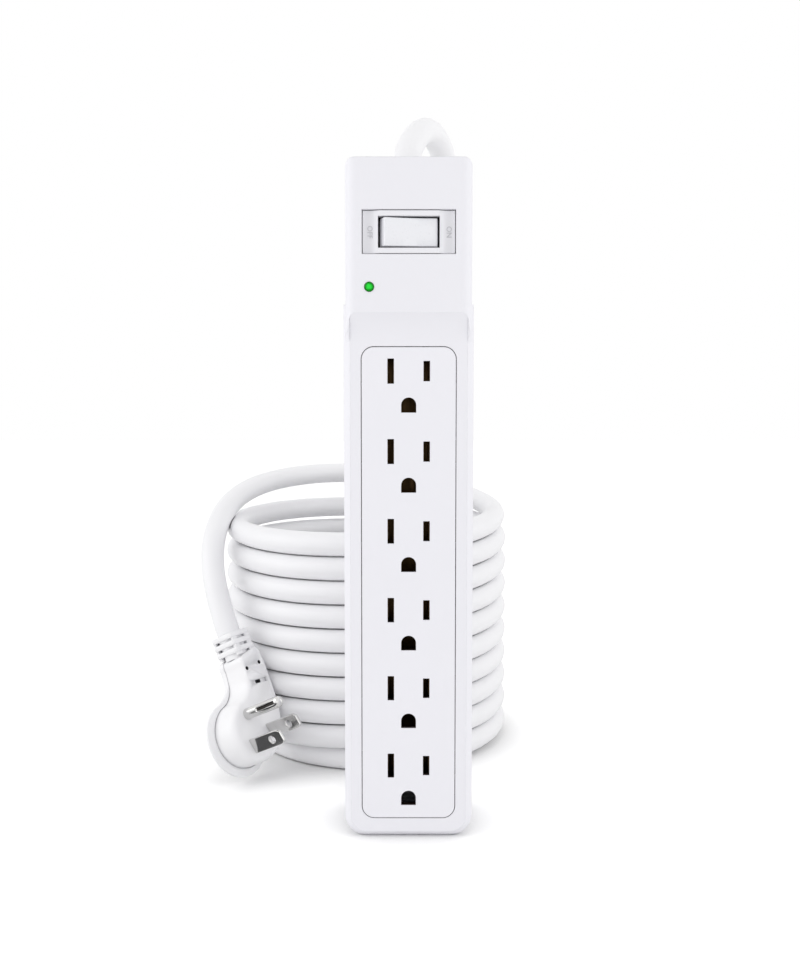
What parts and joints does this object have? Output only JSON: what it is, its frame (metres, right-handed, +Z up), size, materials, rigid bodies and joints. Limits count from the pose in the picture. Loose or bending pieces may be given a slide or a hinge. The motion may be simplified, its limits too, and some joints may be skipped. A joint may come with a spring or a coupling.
{
  "type": "power strip",
  "caption": "White upright power strip with a row of grounded outlets, a rocker switch and indicator light in its head, and a long coiled cord with a flat angled plug.",
  "frame": {"origin": "middle of the strip's lower end, on the surface it stands on", "axes": "+Z up along the strip to the head, -Y out of the outlet face, +X to the right seen from the front"},
  "size_m": [0.1406, 0.2035, 0.2743],
  "materials": {
    "housing_white": "satin",
    "rocker_white": "gloss",
    "switch_black": "matte",
    "steel": "brushed",
    "contact_brass": "polished",
    "lens_green": "gloss",
    "led_pale": "gloss",
    "board_green": "matte",
    "varistor_blue": "matte",
    "fuse_grey": "matte",
    "capacitor_yellow": "gloss",
    "resistor_blue": "matte",
    "tray_grey": "matte",
    "wire_black": "matte",
    "wire_white": "matte",
    "wire_green": "matte",
    "cord_white": "satin",
    "blade_nickel": "polished"
  },
  "bodies": {
    "strip": {"front_housing": "housing_white", "rear_cover": "housing_white", "outlet_plate": "housing_white", "switch_bezel": "housing_white", "switch_body": "switch_black", "housing_screws": "steel", "board_screws": "steel", "common_terminal": "contact_brass", "load_terminal": "contact_brass", "live_bus": "contact_brass", "neutral_bus": "contact_brass", "ground_bus": "contact_brass", "indicator_lens": "lens_green", "indicator_led": "led_pale", "surge_board": "board_green", "varistors": "varistor_blue", "thermal_fuse": "fuse_grey", "filter_capacitor": "capacitor_yellow", "board_resistors": "resistor_blue", "bus_tray": "tray_grey", "line_wire": "wire_black", "switched_wire": "wire_black", "neutral_wire": "wire_white", "ground_wire": "wire_green", "cord_grommet": "cord_white", "cord_lead": "cord_white", "cord_coil": "cord_white", "plug_lead": "cord_white", "plug_body": "cord_white", "plug_line_blade": "blade_nickel", "plug_neutral_blade": "blade_nickel", "plug_ground_pin": "blade_nickel"},
    "rocker_assembly": {"rocker": "rocker_white", "switch_plunger": "rocker_white", "plunger_spring": "steel"},
    "arm": {"contact_arm": "contact_brass"}
  },
  "joints": [
    {"name": "rocker_tilt", "type": "hinge", "parent": "strip", "child": "rocker_assembly", "pos_m": [0, -0.01174, 0.216], "axis": [0, 0, -1], "range_deg": [0, 14]},
    {"name": "contact_tilt", "type": "hinge", "parent": "strip", "child": "arm", "pos_m": [0, -0.00388, 0.216], "axis": [0, 0, 1], "range_deg": [0, 14]}
  ],
  "couplings": [
    {"joint": "contact_tilt", "follows": "rocker_tilt", "ratio": 1}
  ]
}
